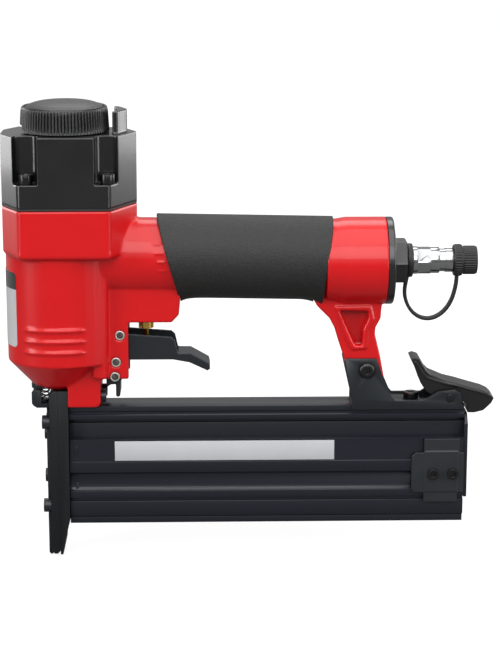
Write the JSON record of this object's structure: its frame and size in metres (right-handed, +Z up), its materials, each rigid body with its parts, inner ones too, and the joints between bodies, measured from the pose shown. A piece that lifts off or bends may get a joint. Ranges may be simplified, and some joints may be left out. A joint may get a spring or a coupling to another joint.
{
  "type": "pneumatic nail gun",
  "caption": "Air-driven brad nailer with a cylinder head and exhaust knob, gripped handle, trigger, air inlet and a magazine that slides open behind a rear latch.",
  "frame": {"origin": "nose tip, on the axis of the driver blade", "axes": "+X from the nose to the rear of the handle, +Z up along the cylinder, +Y across the tool"},
  "size_m": [0.2533, 0.057, 0.2406],
  "materials": {
    "red_paint": "gloss red enamel on cast aluminium",
    "black_gloss_paint": "gloss black enamel on cast aluminium",
    "knob_plastic": "moulded black nylon",
    "cover_plastic": "satin moulded nylon",
    "grip_rubber": "fine-grained moulded rubber",
    "soft_rubber": "smooth moulded rubber",
    "seal_rubber": "nitrile",
    "black_steel": "blackened steel",
    "nose_steel": "phosphated steel",
    "black_anodised": "black anodised extrusion",
    "keeper_steel": "grey phosphated sheet",
    "latch_zinc": "dark grey die casting",
    "end_cap_paint": "satin black",
    "chrome": "plated steel",
    "pin_steel": "ground steel",
    "spring_steel": "bright wire",
    "bare_aluminium": "turned",
    "valve_plastic": "moulded",
    "brass": "turned",
    "label_film": null,
    "sticker_film": "two-tone film, left blank"
  },
  "bodies": {
    "body": {"body_casting": "red_paint", "rubber_grip": "grip_rubber", "cylinder_cap": "black_gloss_paint", "cap_gasket": "seal_rubber", "cap_screws": "black_steel", "deflector_bolt": "pin_steel", "cylinder_sleeve": "bare_aluminium", "sleeve_seals": "seal_rubber", "bumper": "soft_rubber", "head_valve_spring": "spring_steel", "valve_housing": "brass", "housing_seal": "seal_rubber", "valve_spring": "spring_steel", "trigger_pin": "pin_steel", "stop_pin": "pin_steel", "lock_pin": "pin_steel", "end_cap": "end_cap_paint", "end_cap_seal": "seal_rubber", "air_plug": "chrome", "dust_cap_strap": "soft_rubber", "nose_front_plate": "nose_steel", "nose_rear_plate": "nose_steel", "nose_screws": "black_steel", "block_screws": "black_steel", "safety_hook": "black_steel", "safety_spring": "spring_steel", "spring_seat": "black_steel", "magazine_rail": "black_anodised", "front_label": "sticker_film", "magazine_bracket": "black_steel", "bracket_screw": "black_steel", "bracket_nut": "black_steel", "base_screw": "black_steel", "latch_pin": "black_steel", "latch_spring": "spring_steel"},
    "knob": {"exhaust_deflector": "knob_plastic", "deflector_cover": "cover_plastic"},
    "piston": {"piston": "bare_aluminium", "piston_ring": "seal_rubber", "blade_pin": "pin_steel", "driver_blade": "spring_steel"},
    "head_valve": {"head_valve": "valve_plastic", "head_valve_ring": "seal_rubber"},
    "valve_stem": {"valve_stem": "brass", "stem_seal": "seal_rubber"},
    "trigger": {"trigger": "black_steel"},
    "trigger_lock": {"trigger_lock": "black_steel"},
    "dust_cap": {"dust_cap": "soft_rubber"},
    "contact_safety": {"contact_safety": "black_steel"},
    "magazine_slide": {"magazine_slide": "black_anodised", "slide_end_plate": "black_anodised", "pusher_rod": "pin_steel", "pusher_spring": "spring_steel", "magazine_label": "label_film", "keeper_plate": "keeper_steel", "keeper_screws": "black_steel"},
    "pusher": {"pusher": "valve_plastic"},
    "latch_lever": {"latch_lever": "latch_zinc"}
  },
  "joints": [
    {"name": "knob_turn", "type": "hinge", "parent": "body", "child": "knob", "pos_m": [0.006, 0, 0.23], "axis": [0, 0, 1], "continuous": true},
    {"name": "piston_stroke", "type": "slide", "parent": "body", "child": "piston", "axis": [0, 0, -1], "range_m": [0, 0.0715]},
    {"name": "head_valve_lift", "type": "slide", "parent": "body", "child": "head_valve", "axis": [0, 0, 1], "range_m": [0, 0.004], "stiffness_N_per_m": 400, "springref_m": -0.004, "deforming": ["head_valve_spring"]},
    {"name": "trigger_pull", "type": "hinge", "parent": "body", "child": "trigger", "pos_m": [0.0329, 0, 0.1207], "axis": [0, -1, 0], "range_deg": [0, 12], "stiffness_Nm_per_rad": 0.25, "springref_deg": -17.19},
    {"name": "valve_stem_lift", "type": "slide", "parent": "body", "child": "valve_stem", "axis": [0, 0, 1], "range_m": [0, 0.0026], "deforming": ["valve_spring"]},
    {"name": "trigger_lock_turn", "type": "hinge", "parent": "body", "child": "trigger_lock", "pos_m": [0.0301, 0, 0.0988], "axis": [0, -1, 0], "range_deg": [0, 25]},
    {"name": "dust_cap_pull", "type": "slide", "parent": "body", "child": "dust_cap", "axis": [1, 0, 0], "range_m": [0, 0.014], "deforming": ["dust_cap_strap"]},
    {"name": "safety_press", "type": "slide", "parent": "body", "child": "contact_safety", "axis": [0, 0, 1], "range_m": [0, 0.003], "stiffness_N_per_m": 300, "springref_m": -0.004, "deforming": ["safety_spring"]},
    {"name": "magazine_open", "type": "slide", "parent": "body", "child": "magazine_slide", "axis": [1, 0, 0], "range_m": [0, 0.13]},
    {"name": "pusher_travel", "type": "slide", "parent": "magazine_slide", "child": "pusher", "axis": [1, 0, 0], "range_m": [0, 0.12], "stiffness_N_per_m": 30, "springref_m": -0.05, "deforming": ["pusher_spring"]},
    {"name": "latch_release", "type": "hinge", "parent": "body", "child": "latch_lever", "pos_m": [0.2041, 0, 0.0858], "axis": [0, -1, 0], "range_deg": [0, 15], "stiffness_Nm_per_rad": 0.25, "springref_deg": -22.92, "deforming": ["latch_spring"]}
  ],
  "couplings": [
    {"joint": "valve_stem_lift", "follows": "trigger_pull", "m_per_rad": 0.0121}
  ]
}
